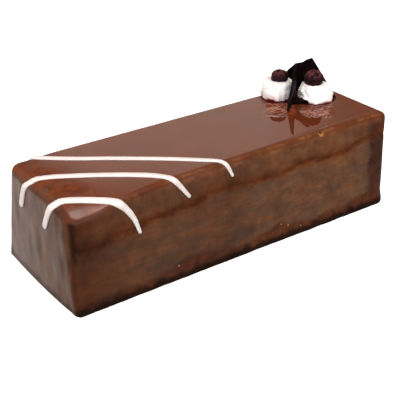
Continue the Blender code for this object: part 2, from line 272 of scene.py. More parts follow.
def creamFinish():
    look = creamLook
    material, board = newFinish("whippedCream")
    pores = board.speckle(board.place(), look["pores"], 3.0, 0.6)
    clouds = board.speckle(board.place(), 0.004)
    foot = board.mask("foot")
    strata = board.speckle(board.place(scale=(0.45, 0.45, 2.0)), look["layerHeight"], 3.0, 0.6, 0.6)
    color = board.blend(clouds.ease(0.3, 0.7), look["shade"], look["light"])
    color = board.blend(strata.ease(0.56, 0.66, 0.0, 0.7), color, look["layer"])
    # towards its foot the cream turns pink, then dark red where it meets the glaze
    color = board.blend(foot * clouds.ease(0.35, 0.6, 0.3, 0.9), color, look["pink"])
    color = board.blend(foot.ease(0.70, 1.0), color, look["footDarkRed"])
    shader = board.add("ShaderNodeBsdfPrincipled", inputs={
        "Base Color": color, "Roughness": look["rough"], "IOR": 1.4,
        "Subsurface Weight": look["glow"], "Subsurface Radius": (1.0, 0.9, 0.8),
        "Subsurface Scale": look["glowDepth"], "Normal": board.bump(pores, look["poreDepth"])})
    closeFinish(board, shader)
    return material


cherryLook = {
    # light is the painted lit top of each cherry, dark its shaded underside
    "dark": (0.006, 0.0010, 0.0017), "light": (0.105, 0.0200, 0.0290), "underneath": 0.12,
    "mottle": 0.0035, "rough": 0.42, "roughSpread": 0.2, "shine": 0.25, "skin": 0.0008, "depth": 0.00008,
}


def cherryFinish():
    look = cherryLook
    material, board = newFinish("darkCherry")
    mottle = board.speckle(board.place(), look["mottle"], 4.0, 0.6)
    skin = board.speckle(board.place(), look["skin"], 3.0, 0.6)
    # painted light: each cherry's top lighter and rosy, its underside near black
    lit = mottle.ease(0.36, 0.66) * board.mask("crown").ease(0.0, 1.0, look["underneath"], 1.0)
    color = board.blend(lit, look["dark"], look["light"])
    shader = board.add("ShaderNodeBsdfPrincipled", inputs={
        "Base Color": color, "Roughness": mottle * look["roughSpread"] + look["rough"], "IOR": 1.40,
        "Specular IOR Level": look["shine"], "Normal": board.bump(skin, look["depth"])})
    closeFinish(board, shader)
    return material


chocolateLook = {
    "dark": (0.0018, 0.0006, 0.0010), "bloom": (0.0060, 0.0022, 0.0036), "bloomSize": 0.007,
    "rough": 0.40, "roughSpread": 0.2, "shine": 0.05, "grain": 0.0012, "depth": 0.0001,
}


def chocolateFinish():
    look = chocolateLook
    material, board = newFinish("darkChocolate")
    bloom = board.speckle(board.place(), look["bloomSize"], 4.0, 0.6)
    grain = board.speckle(board.place(), look["grain"], 4.0, 0.6)
    color = board.blend(bloom.ease(0.4, 0.7), look["dark"], look["bloom"])
    shader = board.add("ShaderNodeBsdfPrincipled", inputs={
        "Base Color": color, "Roughness": bloom * look["roughSpread"] + look["rough"], "IOR": 1.5,
        "Specular IOR Level": look["shine"], "Normal": board.bump(grain, look["depth"])})
    closeFinish(board, shader)
    return material


def addPiece(name, bm, material, slot, *nodes):
    bmesh.ops.recalc_face_normals(bm, faces=bm.faces)
    mesh = bpy.data.meshes.new(name)
    bm.to_mesh(mesh)
    bm.free()
    mesh.shade_smooth()
    mesh.materials.append(material)
    piece = bpy.data.objects.new(name, mesh)
    bpy.context.scene.collection.objects.link(piece)
    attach(piece, "root")
    if nodes:
        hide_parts(*nodes)
    return piece


loaf = {  # corners: radius in millimetres at the base and at the top
    "nearLean": 3.0 * mm, "farLean": -2.6 * mm, "sideLean": 9.75 * mm,
    "corners": {(-1, -1): (4.0, 10.0), (-1, 1): (6.0, 9.0), (1, 1): (6.0, 7.0), (1, -1): (13.0, 5.5)},
    "baseInset": 0.6 * mm, "frontRim": 4.4 * mm, "frontNearRim": 2.4 * mm, "backRim": 2.6 * mm,
    "rimChange": (34.0 * mm, 66.0 * mm),
    "nearRim": 7.5 * mm, "nearFrontRim": 5.0 * mm, "nearBackRim": 8.0 * mm, "farRim": 5.0 * mm,
    "cuts": (239, 83, 71), "relax": 10, "relaxFrom": 9.0 * mm,
    "sagDepth": 11.3 * mm, "sagPower": 2.35, "sagAlong": 50.0 * mm, "sagAcross": 35.0 * mm,
    "farSagDepth": 1.2 * mm, "farSagAlong": 20.0 * mm,
}
topNear = cakeLow.x + loaf["nearLean"]
topFar = cakeHigh.x
topHalfWidth = cakeHigh.y - loaf["sideLean"]


def wobble(x, y, z, size, seed=0.0):
    return noise.noise(Vector((x / size + seed, y / size - seed, z / size + 2.0 * seed)))


def between(value, start, end):  # smooth step from 0 to 1
    t = min(1.0, max(0.0, (value - start) / (end - start)))
    return t * t * (3.0 - 2.0 * t)


def bell(distance, width):  # 1 at no distance, fading to 0 on both sides
    return math.exp(-(distance / width) ** 2)


def sagAt(x, y):
    across = min(1.0, max(0.0, 1.0 - (y + topHalfWidth) / loaf["sagAcross"]))
    far = min(1.0, max(0.0, 1.0 - (topFar - x) / loaf["farSagAlong"]))
    near = bell(x - topNear, loaf["sagAlong"]) * across ** loaf["sagPower"]
    return loaf["sagDepth"] * near + loaf["farSagDepth"] * far ** 2


def sides(z):  # where the near end, the far end and the long sides are at a height
    down = 1.0 - z / cakeHeight
    return (topNear - loaf["nearLean"] * down, topFar + loaf["farLean"] * down,
            topHalfWidth + loaf["sideLean"] * down)


def roundCorners(x, y, z, near, far, half):  # spot on plan, way out, and distance past the edge
    atBase, atTop = loaf["corners"][(1 if x > 0 else -1, 1 if y > 0 else -1)]
    radius = (atBase + (atTop - atBase) * z / cakeHeight) * mm
    centre = Vector((min(max(x, near + radius), far - radius),
                     min(max(y, -half + radius), half - radius)))
    away = Vector((x, y)) - centre
    if away.length < 1e-9:
        gap, out = min((x - near, (-1, 0)), (far - x, (1, 0)), (half - y, (0, 1)), (half + y, (0, -1)))
        return centre, Vector(out), -gap
    reach = max(abs(away.x), abs(away.y))
    return centre + away.normalized() * reach, away.normalized(), reach - radius


def slopeFacing(out):  # lean of the side that faces that way
    lean = loaf["sideLean"] * out.y ** 2
    lean += (loaf["nearLean"] if out.x < 0 else loaf["farLean"]) * out.x ** 2
    return math.atan(lean / cakeHeight)


def rollOver(past, inset, slope):  # round an edge: way out from it, way down, tilt
    turn = math.pi / 2 - slope
    radius = inset / math.tan(turn / 2)
    tilt = turn * (past + inset) / (2 * inset)
    return radius * math.sin(tilt) - inset, radius * (1.0 - math.cos(tilt)), tilt


def crowd(u, pull=0.72):  # draws the mesh lines together towards the edges
    return math.sin(u * pull * math.pi / 2) / math.sin(pull * math.pi / 2)


def loafSkin(a, b, c):  # a point of the cube onto the smooth loaf, with its normal
    onSide = max(abs(a), abs(b)) > 1.0 - 1e-6
    z = cakeHeight * (crowd(c) + 1.0) / 2
    along, across = (crowd(a, 0.9) + 1.0) / 2, crowd(b, 0.8)

    def onPlan(height):
        near, far, half = sides(height)
        return roundCorners(near + (far - near) * along, half * across, height, near, far, half)

    spot, out, past = onPlan(z)
    slope = slopeFacing(out)
    tight = 1.0 - between(spot.x - topNear, *loaf["rimChange"])
    sideRim = loaf["frontRim"] + (loaf["frontNearRim"] - loaf["frontRim"]) * tight
    sideRim = loaf["backRim"] if b > 0 else sideRim
    nearRim = loaf["nearRim"] + (loaf["nearBackRim"] - loaf["nearRim"]) * between(b, -0.2, 0.6)
    nearRim += (loaf["nearFrontRim"] - nearRim) * (1.0 - between(b, -0.95, -0.35))
    endRim = nearRim if a < 0 else loaf["farRim"]
    topRim = sideRim + (endRim - sideRim) * out.x ** 2
    for edgeZ, inset, flip in ((cakeHeight, topRim, 1.0), (0.0, loaf["baseInset"], -1.0)):
        if (abs(edgeZ - z) > inset if onSide else (abs(edgeZ - z) > 1e-6 or past < -inset)):
            continue
        edge, out, atEdge = onPlan(edgeZ)
        outward, drop, tilt = rollOver(abs(edgeZ - z) if onSide else past, inset, slope * flip)
        edge += out * (outward - atEdge)
        return (Vector((edge.x, edge.y, edgeZ - flip * drop)),
                Vector((out.x * math.sin(tilt), out.y * math.sin(tilt), flip * math.cos(tilt))))
    if onSide:
        return (Vector((spot.x, spot.y, z)),
                Vector((out.x * math.cos(slope), out.y * math.cos(slope), math.sin(slope))))
    return Vector((spot.x, spot.y, z)), Vector((0.0, 0.0, 1.0 if c > 0 else -1.0))


relief = {
    "bulge": 1.5 * mm, "flare": 1.5 * mm, "flareLeast": 0.75, "flareAtEnd": 0.2, "flareFar": 0.5,
    "pillow": 0.6 * mm, "pillowWidth": 18.0 * mm, "pillowBack": 2.2,
    "farEdge": 132.5 * mm, "endEdge": 30.0 * mm, "corner": 14.0 * mm,
    "windowProud": 0.40 * mm, "upperProud": 0.32 * mm,
    "grooveWidth": 5.2 * mm, "grooveDepth": 0.65 * mm, "grooveLeast": 0.7, "grooveNear": 0.4,
    "grooveUnder": 0.6, "creaseFacing": -0.62, "creaseWidth": 0.26, "creaseShade": 0.72,
    "sagDull": 0.62, "lipDull": 0.7, "footAtEnd": 0.5, "rolledFront": 0.75,
    "lip": (59.8 * mm, -41.1 * mm), "lipSlant": 0.075, "lipDip": 0.07 * mm, "lipDipWidth": 1.1 * mm,
    "lipBead": 0.06 * mm, "lipBeadWidth": 1.8 * mm, "lipBeadOut": 3.2 * mm, "lipBeadLeast": 0.7,
    "pit": (78.3 * mm, -44.9 * mm, 78.9 * mm), "pitDepth": 1.1 * mm, "pitWidth": 1.2 * mm,
    "pitDull": 1.8 * mm, "rimTilt": 0.65, "rimTiltWidth": 0.40, "rimHighlight": 0.8,
    "rimHighlightHeight": 76.0 * mm, "rimHighlightWidth": 2.8 * mm,
    "paintedReflectionWay": (0.584, 0.812),  # in plan, the way the camera looks, along which the painted reflection lies
}
dullness = {"rim": 0.85, "foot": 0.9, "blush": 0.55, "crease": 0.85, "groove": 0.7, "nearSide": 0.45}
waves = {  # height, size, seed and upward squeeze of each unevenness
    "foot": (2.2 * mm, 0.012, 7.7, 1.0), "windowEnd": (4.5 * mm, 0.014, 5.0, 1.0),
    "windowNick": (1.2 * mm, 0.005, 9.0, 1.0), "windowEdge": (1.4 * mm, 0.005, 1.7, 1.0),
    "swell": (0.40 * mm, 0.034, 1.0, 1.3), "flare": (0.45, 0.011, 8.0, 1.0),
    "top": (0.08 * mm, 0.026, 2.5, 1.0), "fold": (0.035 * mm, 0.0055, 6.0, 0.3),
    "endFold": (0.36 * mm, 0.0085, 6.6, 0.45), "crumb": (0.07 * mm, 0.0032, 3.3, 1.0),
    "grooveLine": (1.3 * mm, 0.007, 2.2, 1.0), "grooveWidth": (0.5, 0.014, 6.1, 1.0),
    "grooveDepth": (0.8, 0.008, 2.0, 1.0), "upperEnd": (5.0 * mm, 0.010, 2.8, 1.0),
    "low": (3.0 * mm, 0.008, 9.0, 1.0), "blush": (6.0 * mm, 0.02, 3.0, 1.0),
    "lipLine": (0.5 * mm, 0.009, 1.1, 1.0), "lipBead": (1.0, 0.012, 4.1, 1.0),
    "swirlFootRed": (1.6 * mm, 0.004, 5.5, 1.0), "paintedReflection": (6.0 * mm, 0.005, 3.9, 1.0),
}
ramps = {  # where each feature starts and where it is full
    "upright": (0.25, 0.85), "nearEnd": (0.55, 0.95), "bulge": (0.35, 0.80), "flat": (0.90, 0.995),
    "gloss": (0.975, 0.9998), "sag": (0.6 * mm, 4.0 * mm), "top": (0.7, 1.0),
    "flare": (0.0, 12.0 * mm), "flareFar": (0.0, 100.0 * mm), "pillow": (0.2, 0.9),
    "pillowWide": (0.0, 30.0 * mm), "pillowBack": (5.0 * mm, 40.0 * mm),
    "window": (-3.5 * mm, 1.5 * mm), "windowTop": (-2.4 * mm, -0.6 * mm),
    "upper": (0.6 * mm, 3.4 * mm), "upperEnd": (128.0 * mm, 140.0 * mm),
    "grooveNear": (-125.0 * mm, -85.0 * mm), "low": (3.2 * mm, 7.8 * mm),
    "creaseFront": (0.3, 0.7), "creaseUp": (40.0 * mm, 54.0 * mm), "endFold": (2.0 * mm, 20.0 * mm),
    "lipAlong": (30.0 * mm, 65.0 * mm), "lipUp": (0.5, 0.95), "lipOut": (37.0 * mm, 40.0 * mm),
    "blush": (6.0 * mm, 48.0 * mm), "blushBack": (-32.0 * mm, -20.0 * mm),
    "rolledStart": (0.12, 0.40), "rolledEnd": (0.75, 0.97), "rolledUp": (0.10, 0.35),
    "rolledFront": (18.0 * mm, 34.0 * mm), "dullTilt": (0.02, 0.12), "dullTiltEnd": (0.9, 1.3),
    "dullRim": (-130.0 * mm, -118.0 * mm), "dullRimEnd": (-70.0 * mm, -45.0 * mm),
    "nearSide": (-140.0 * mm, -105.0 * mm), "rimHighlight": (-110.0 * mm, -60.0 * mm),
    "swirlFootRed": (2.4 * mm, 5.6 * mm), "paintedReflectionStart": (0.0, 6.0 * mm), "paintedReflectionSide": (-4.0 * mm, 1.0 * mm),
    "paintedReflectionEnd": (25.0 * mm, 31.0 * mm),
}
curves = {  # along the long sides: height of the groove, height of the foot, lightness
    "groove": [(-152, 55.5), (-142, 53.2), (-131, 52.8), (-114, 55.6), (-103, 54.2), (-76, 55.4),
               (-50, 54.8), (-31, 59.4), (-6, 58.4), (14, 57.0), (38, 55.8), (51, 58.8), (68, 58.6),
               (84, 57.0), (105, 57.0), (118, 60.0), (134, 62.5)],
    "foot": [(-150, 8.5), (-90, 8.0), (-72, 11.0), (-60, 15.0), (-46, 14.0), (-30, 10.5), (0, 8.0),
             (18, 10.5), (32, 14.5), (44, 11.5), (60, 9.0), (80, 10.0), (98, 8.5), (112, 11.5)],
    "tone": [(-150, 0.0), (-125, 0.15), (-92, 0.60), (-70, 0.60), (-40, 0.35), (-10, 0.5), (20, 0.9),
             (40, 0.85), (100, 1.0), (124, 0.95), (134, 0.50), (150, 0.45)],
}
creamFeet = [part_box("cream_swirl_" + place) for place in ("back", "front")]


def follow(name, x):  # value at x of a curve kept as knots in millimetres
    knots = curves[name]
    for (x0, value0), (x1, value1) in zip(knots, knots[1:]):
        if x <= x1 * mm:
            return value0 + (value1 - value0) * between(x, x0 * mm, x1 * mm)
    return knots[-1][1]


def ramp(name, value):
    return between(value, *ramps[name])


def wave(name, x, y, z=0.0):
    height, size, seed, squeeze = waves[name]
    return height * wobble(x, y, z * squeeze, size, seed)


def windowGap(x, y, z, normal):  # how far outside the smooth window of a side
    onLongSide = abs(normal.y) >= abs(normal.x)
    along, limit = (x, relief["farEdge"]) if onLongSide else (abs(y), relief["endEdge"])
    corner = relief["corner"]
    down = follow("foot", x) * mm + wave("foot", x, y) - z + corner
    beyond = along - limit + corner + wave("windowEnd", 0.0, 0.0, z) + wave("windowNick", x, 0.0, z)
    return math.hypot(max(down, 0.0), max(beyond, 0.0)) + min(max(down, beyond), 0.0) - corner


def broadShape(spot, normal):  # height of the broad waves, which the icing follows
    x, y, z = spot
    nearEnd = ramp("bulge", -normal.x)
    flare = relief["flare"] * (1.0 - ramp("flare", z)) * (relief["flareLeast"] + wave("flare", x, y))
    flare *= 1.0 + (relief["flareAtEnd"] - 1.0) * nearEnd
    flare *= 1.0 + relief["flareFar"] * ramp("flareFar", x)
    bulge = relief["bulge"] * nearEnd * (1.0 - (min(abs(y), topHalfWidth) / topHalfWidth) ** 2)
    height = ramp("upright", 1.0 - abs(normal.z)) * (wave("swell", x, y, z) + flare + bulge)
    height += ramp("top", normal.z) * wave("top", x, y)
    wide = relief["pillowWidth"] * (1.0 + ramp("pillowWide", y))
    pillow = relief["pillow"] * (1.0 + relief["pillowBack"] * ramp("pillowBack", y))
    return height - pillow * ramp("pillow", normal.z) * (1.0 - between(x - topNear, 0.0, wide))


def aroundSwirls(x, y):  # dark red ring around the foot of each swirl, and before each one a streaked patch that is a painted reflection of the cream
    swirlRing = paintedReflection = 0.0
    alongX, alongY = relief["paintedReflectionWay"]
    for footLow, footHigh in creamFeet:
        centre, reach = (footLow + footHigh) / 2, (footHigh.x - footLow.x) / 2
        toX, toY = centre.x - x, centre.y - y
        swirlRing = max(swirlRing, 1.0 - ramp("swirlFootRed", math.hypot(toX, toY) - reach + wave("swirlFootRed", x, y)))
        ahead = toX * alongX + toY * alongY + wave("paintedReflection", x, y)
        aside = abs(toX * alongY - toY * alongX)
        patch = ramp("paintedReflectionStart", ahead) * (1.0 - ramp("paintedReflectionEnd", ahead - reach))
        paintedReflection = max(paintedReflection, patch * (1.0 - ramp("paintedReflectionSide", aside - reach)))
    return swirlRing, paintedReflection


def reliefAt(spot, normal):  # height of the fine relief and the masks that the glaze is coloured by
    x, y, z = spot
    upright = ramp("upright", 1.0 - abs(normal.z))
    nearEnd = ramp("nearEnd", -normal.x)
    banded = upright * (1.0 - nearEnd)
    flat = ramp("flat", normal.z)
    tilt = math.acos(max(-1.0, min(1.0, normal.z)))
    middle = follow("groove", x) * mm + wave("grooveLine", x, y)
    width = 1.0 + wave("grooveWidth", x, y) + relief["grooveNear"] * (1.0 - ramp("grooveNear", x))
    width *= relief["grooveWidth"] * (1.0 if z > middle else relief["grooveUnder"])
    groove = bell(z - middle, width) * banded
    creased = bell(normal.x - relief["creaseFacing"], relief["creaseWidth"])
    creased *= ramp("creaseFront", -normal.y) * ramp("creaseUp", z)
    gap = windowGap(x, y, z, normal) + wave("windowEdge", x, y, z)
    window = (1.0 - ramp("window", gap)) * (1.0 - ramp("windowTop", z - middle)) * banded
    above = ramp("upper", z - middle) * (1.0 - ramp("upperEnd", x + wave("upperEnd", x, 0.0, z))) * banded
    low = 1.0 - ramp("low", z + wave("low", x, y))
    foot = low * (1.0 - relief["footAtEnd"] * nearEnd)
    lipX, lipY = relief["lip"]
    offLip = y - (lipY + relief["lipSlant"] * (x - lipX) + wave("lipLine", x, 0.0))
    lip = ramp("lipAlong", x) * ramp("lipUp", normal.z) * ramp("lipOut", -y)
    bead = bell(offLip + relief["lipBeadOut"], relief["lipBeadWidth"])
    bead *= relief["lipBeadLeast"] + wave("lipBead", x, 0.0)
    fromPit = (spot - Vector(relief["pit"])).length

    height = relief["windowProud"] * window + relief["upperProud"] * above
    height -= relief["grooveDepth"] * groove * (relief["grooveLeast"] + wave("grooveDepth", x, y, z))
    height += upright * wave("fold", x, y, z)
    height += nearEnd * upright * ramp("endFold", z) * wave("endFold", y, 0.0, z)
    height += banded * (1.0 - window - above) * wave("crumb", x, y, z)
    height += lip * (relief["lipBead"] * bead - relief["lipDip"] * bell(offLip, relief["lipDipWidth"]))
    height -= relief["pitDepth"] * bell(fromPit, relief["pitWidth"])

    gloss = ramp("gloss", normal.z) * (1.0 - relief["sagDull"] * ramp("sag", sagAt(x, y)))
    blush = 1.0 - ramp("blush", x - topNear + wave("blush", x, y))
    rolled = ramp("rolledStart", -normal.x) * (1.0 - ramp("rolledEnd", -normal.x))
    rolled *= ramp("rolledUp", normal.z) * (1.0 - relief["rolledFront"] * ramp("rolledFront", -y))
    # a painted highlight: a paler tan streak along the front rim near the near end
    rimHighlight = relief["rimHighlight"] * banded * ramp("rimHighlight", x)
    rimHighlight *= bell(z - relief["rimHighlightHeight"], relief["rimHighlightWidth"])
    nearRim = ramp("dullTilt", tilt) * (1.0 - ramp("dullTiltEnd", tilt))
    nearRim *= ramp("dullRim", x) * (1.0 - ramp("dullRimEnd", x))
    dulled = {"rim": nearRim, "foot": foot * upright, "blush": blush * flat * ramp("blushBack", y),
              "crease": creased * upright, "groove": groove,
              "nearSide": banded * (1.0 - ramp("nearSide", x))}
    matte = max(dullness[name] * value for name, value in dulled.items())
    swirlRing, paintedReflection = aroundSwirls(x, y)
    masks = {"top": flat, "groove": groove, "panel": window, "upper": above, "end": nearEnd * upright,
             "rim": max(bell(tilt - relief["rimTilt"], relief["rimTiltWidth"]), rimHighlight),
             # the foot and the near corner's crease carry painted shade
             "low": upright * max(foot, relief["creaseShade"] * creased),
             "gloss": gloss * (1.0 - relief["lipDull"] * lip), "tone": follow("tone", x),
             "swirlRing": swirlRing * flat, "paintedReflection": paintedReflection * flat, "blush": max(blush * flat, rolled),
             "matte": max(matte, bell(fromPit, relief["pitDull"]))}
    return height, masks


def glazedLoaf():
    bm = bmesh.new()
    bmesh.ops.create_cube(bm, size=2.0)
    for axis, cuts in enumerate(loaf["cuts"]):
        edges = [e for e in bm.edges if abs(e.verts[0].co[axis] - e.verts[1].co[axis]) > 1.0]
        bmesh.ops.subdivide_edges(bm, edges=edges, cuts=cuts, use_grid_fill=True)
    layers = {name: bm.verts.layers.float.new(name) for name in maskNames}
    normals, heights = [], []
    for vert in bm.verts:
        vert.co, normal = loafSkin(*vert.co)
        normals.append(normal)
    upper = [v for v in bm.verts if v.co.z > loaf["relaxFrom"]]
    for i in range(loaf["relax"]):
        bmesh.ops.smooth_vert(bm, verts=upper, factor=0.5,
                              use_axis_x=True, use_axis_y=True, use_axis_z=True)
    for vert, normal in zip(bm.verts, normals):
        spot, above = vert.co.copy(), normal.z >= -0.5  # the underside stays flat
        height, masks = reliefAt(spot, normal)
        heights.append(height * above)
        vert.co += normal * broadShape(spot, normal) * above
        vert.co.z -= sagAt(spot.x, spot.y) * spot.z / cakeHeight
        for name, value in masks.items():
            vert[layers[name]] = value
    broad = BVHTree.FromBMesh(bm)
    for vert, normal, height in zip(bm.verts, normals, heights):
        vert.co += normal * height
    addPiece("glazedLoaf", bm, glaze, "chocolate_glaze", "glazed_cake")
    return broad


glaze = glazeFinish()
broadLoaf = glazedLoaf()
print("loaf glazed")


stripes = {
    "icing_stripe_back": {"width": 4.9, "height": 1.5, "path": [
        (-137, 58), (-131, 47), (-126, 40.2), (-117.6, 32.0), (-108.3, 24.6), (-98.7, 17.8),
        (-88.2, 10.8), (-78, 3.4), (-48.5, -19), (-31.5, -33.5), (-19, -45), (-12, -58)]},
    "icing_stripe_middle": {"width": 5.6, "height": 1.7, "path": [
        (-173.5, 23), (-159, 18), (-148, 12), (-134, 5.5), (-107, -10.5), (-78.5, -30.5),
        (-65, -45), (-52, -63)]},
    "icing_stripe_front": {"width": 5.3, "height": 1.5, "path": [
        (-174.5, -14), (-161, -19.7), (-150, -25.5), (-139, -29.5), (-123.5, -37), (-110, -46.5),
        (-101, -61), (-96.5, -76)]},
}
stripeShape = {"step": 1.0, "sides": 18, "sunk": 0.35, "blunt": 0.55, "tail": 6.0, "thin": 0.48,
               "sway": 0.05, "swaySize": 9.0 * mm, "least": 0.1, "crown": 0.85, "proud": 0.15}


def foldOver(distance, halfTop, lean, inset):  # lay a flat sheet over one rim of the loaf
    slope = math.atan(lean / cakeHeight)
    turn = math.pi / 2 - slope
    radius = inset / math.tan(turn / 2)
    past = abs(distance) - (halfTop - inset)
    tilt = min(max(past, 0.0) / radius, turn)
    down = max(0.0, past - radius * turn)
    offset = min(abs(distance), halfTop - inset) + radius * math.sin(tilt) + down * math.sin(slope)
    drop = radius * (1.0 - math.cos(tilt)) + down * math.cos(slope)
    side = math.copysign(1.0, distance)
    return side * offset, cakeHeight - drop, side * tilt


def onGlaze(sheet, lift):  # a point of that sheet on the glaze, raised by lift
    x, endZ, tiltX = foldOver(sheet.x, -topNear, loaf["nearLean"], loaf["nearRim"])
    y, sideZ, tiltY = foldOver(sheet.y, topHalfWidth, loaf["sideLean"], loaf["frontRim"])
    normal = Vector((math.sin(tiltX), math.sin(tiltY), math.cos(tiltX) * math.cos(tiltY))).normalized()
    spot = Vector((x, y, min(endZ, sideZ)))
    spot.z -= sagAt(spot.x, spot.y) * spot.z / cakeHeight
    return broadLoaf.find_nearest(spot)[0] + normal * (lift + stripeShape["proud"] * mm)


def smoothPath(points, step):  # evenly spread points on a Catmull-Rom curve
    knots = [2 * points[0] - points[1]] + points + [2 * points[-1] - points[-2]]
    path = []
    for a, b, c, d in zip(knots, knots[1:], knots[2:], knots[3:]):
        count = max(2, round((c - b).length / step))
        for i in range(count):
            t = i / count
            path.append(0.5 * (2 * b + (c - a) * t + (2 * a - 5 * b + 4 * c - d) * t ** 2
                               + (3 * b - a - 3 * c + d) * t ** 3))
    return path + [points[-1]]


def pipedStripe(name, spec):
    path = smoothPath([Vector(p) * mm for p in spec["path"]], stripeShape["step"] * mm)
    travelled = [0.0]
    for a, b in zip(path, path[1:]):
        travelled.append(travelled[-1] + (b - a).length)
    bm = bmesh.new()
    sides = stripeShape["sides"]
    bmesh.ops.create_circle(bm, segments=sides, radius=1.0, cap_ends=True)
    face = bm.faces[:][0]
    total = travelled[-1]
    for i, sheet in enumerate(path):
        width, height = spec["width"] * mm, spec["height"] * mm
        start = min(1.0, travelled[i] / (stripeShape["blunt"] * width))
        left = (total - travelled[i]) / width
        scale = math.sqrt(1.0 - (1.0 - start) ** 2) * (
            stripeShape["thin"] + (1.0 - stripeShape["thin"]) * min(1.0, left / stripeShape["tail"]))
        finish = min(1.0, left / (stripeShape["blunt"] * stripeShape["thin"]))
        scale *= math.sqrt(1.0 - (1.0 - finish) ** 2)
        at = Vector((travelled[i] / stripeShape["swaySize"], spec["width"], 0))
        scale = max(stripeShape["least"], scale * (1.0 + stripeShape["sway"] * noise.noise(at)))
        heading = (path[min(i + 1, len(path) - 1)] - path[max(i - 1, 0)]).normalized()
        across = Vector((-heading.y, heading.x)) * width / 2 * scale
        if i:
            face = bmesh.ops.extrude_discrete_faces(bm, faces=[face])["faces"][0]
        for k, vert in enumerate(face.verts):
            angle = 2 * math.pi * k / sides
            rise = math.sin(angle)
            lift = height * scale * rise ** stripeShape["crown"] if rise > 0 else (
                stripeShape["sunk"] * mm * rise)
            vert.co = onGlaze(sheet + across * math.cos(angle), lift)
    bmesh.ops.holes_fill(bm, edges=[e for e in bm.edges if e.is_boundary])
    return addPiece("icingStripe" + name.split("_")[-1].capitalize(), bm, icing, "white_icing", name)


icing = icingFinish()
for name, spec in stripes.items():
    pipedStripe(name, spec)
print("stripes piped")


swirls = {  # notch: where it is, how far it turns, how wide, how deep
    "back": {"offset": (-1.9, 0.0), "radius": 14.0, "height": 15.6, "start": 120.0, "turns": 3.4,
             "fullness": 0.16, "lean": 0.05, "lump": 0.7, "notch": (215.0, 30.0, 4.0, 0.4)},
    "front": {"offset": (2.5, -1.3), "radius": 15.4, "height": 14.8, "start": 185.0, "turns": 2.5,
              "fullness": 0.44, "lean": 0.10, "lump": 1.1, "notch": (179.0, 62.0, 5.5, 1.5)},
}
swirlShape = {"across": 150, "up": 120, "crease": 0.60, "tail": 2.6, "tailWidth": 0.05, "ridges": 4,
              "ridge": 0.28, "sunk": 0.6, "baseRings": 12, "lumps": 4.5, "ragged": 0.35, "rags": 1.6,
              "lobes": 7, "lobe": 0.10, "notchFoot": (0.05, 0.30), "notchTop": (0.75, 0.95),
              "lobeTop": (0.1, 0.5), "swirlFootRed": (0.04, 0.24)}


def pipedSwirl(place, spec):
    shape = swirlShape
    low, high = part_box("cream_swirl_" + place)
    cherryLow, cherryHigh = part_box("cherry_" + place)
    centre = (cherryLow + cherryHigh) / 2 + Vector((*spec["offset"], 0)) * mm
    centre.z = low.z - shape["sunk"] * mm
    rings = shape["up"]
    notchAt, notchTurn, notchWide, notchDeep = spec["notch"]
    bm = bmesh.new()
    bmesh.ops.create_uvsphere(bm, u_segments=shape["across"], v_segments=rings, radius=1.0)
    foot = bm.verts.layers.float.new("foot")
    for vert in bm.verts:
        way = vert.co.normalized()
        angle = math.atan2(way.y, way.x)
        ring = rings * (math.asin(max(-1.0, min(1.0, way.z))) / math.pi + 0.5)
        level = max(0.0, ring - shape["baseRings"]) / (rings - shape["baseRings"]) * math.pi / 2
        across = max(0.0, math.cos(level)) ** spec["fullness"]
        climb = math.sin(level) ** spec["fullness"]
        fromStart = (angle - math.radians(spec["start"])) / (2 * math.pi)
        turn = climb * spec["turns"] - fromStart
        crease = shape["crease"] * (1.0 - abs(math.sin(math.pi * turn)) ** 0.5)
        unrest = noise.noise(Vector((math.cos(angle), math.sin(angle), climb * 2.0)) * 2.2)
        ridge = shape["ridge"] * math.sin(2 * math.pi * shape["ridges"] * turn + 4.0 * unrest)
        ridge *= 1.0 + 1.5 * unrest
        atNotch = math.radians(notchAt + notchTurn * (0.75 - climb))
        off = math.degrees(math.remainder(angle - atNotch, 2 * math.pi)) / notchWide
        notch = notchDeep * (bell(off, 1.0) - 0.5 * bell(off + 3.0, 1.0))
        notch *= between(climb, *shape["notchFoot"]) * (1.0 - between(climb, *shape["notchTop"]))
        tail = shape["tail"] * bell(fromStart - round(fromStart), shape["tailWidth"]) * (1.0 - climb) ** 4
        reach = (spec["radius"] * (1.0 - spec["lean"] * climb) - crease - notch + tail + ridge) * across
        out = Vector((math.cos(angle), math.sin(angle), climb * 1.2))
        reach += spec["lump"] * noise.noise(out * spec["radius"] / shape["lumps"]) * across
        torn = Vector((out.x * 0.5, out.y * 0.5, climb * 2.2))
        reach += shape["ragged"] * noise.noise(torn * spec["radius"] / shape["rags"]) * across
        lobe = abs(math.sin(angle * shape["lobes"] / 2 + 1.3 * noise.noise(out))) - 0.6
        reach += shape["lobe"] * lobe * (1.0 - between(climb, *shape["lobeTop"]))
        reach *= min(1.0, ring / shape["baseRings"])
        vert[foot] = 1.0 - between(climb + 0.07 * lobe + 0.10 * unrest, *shape["swirlFootRed"])
        spot = Vector((reach * math.cos(angle), reach * math.sin(angle), spec["height"] * climb))
        vert.co = spot * mm + centre
    return addPiece("creamSwirl" + place.capitalize(), bm, cream, "whipped_cream", "cream_swirl_" + place)


cream = creamFinish()
for place, spec in swirls.items():
    pipedSwirl(place, spec)
print("swirls piped")


cherries = {
    "back": {"radius": 7.3, "halfHeight": 5.8, "offset": (0, 0, 0), "seed": 3.0, "boxy": 0.68},
    "front": {"radius": 8.2, "halfHeight": 7.9, "offset": (0.5, -0.5, -0.7), "seed": 11.0, "boxy": 0.92},
}
cherryShape = {"across": 72, "up": 48, "dimple": 1.3, "dimpleWidth": 0.34, "wrinkle": 0.9,
               "wrinkles": 1.6, "bump": 0.55, "bumps": 3.6, "crown": (0.10, 0.90)}


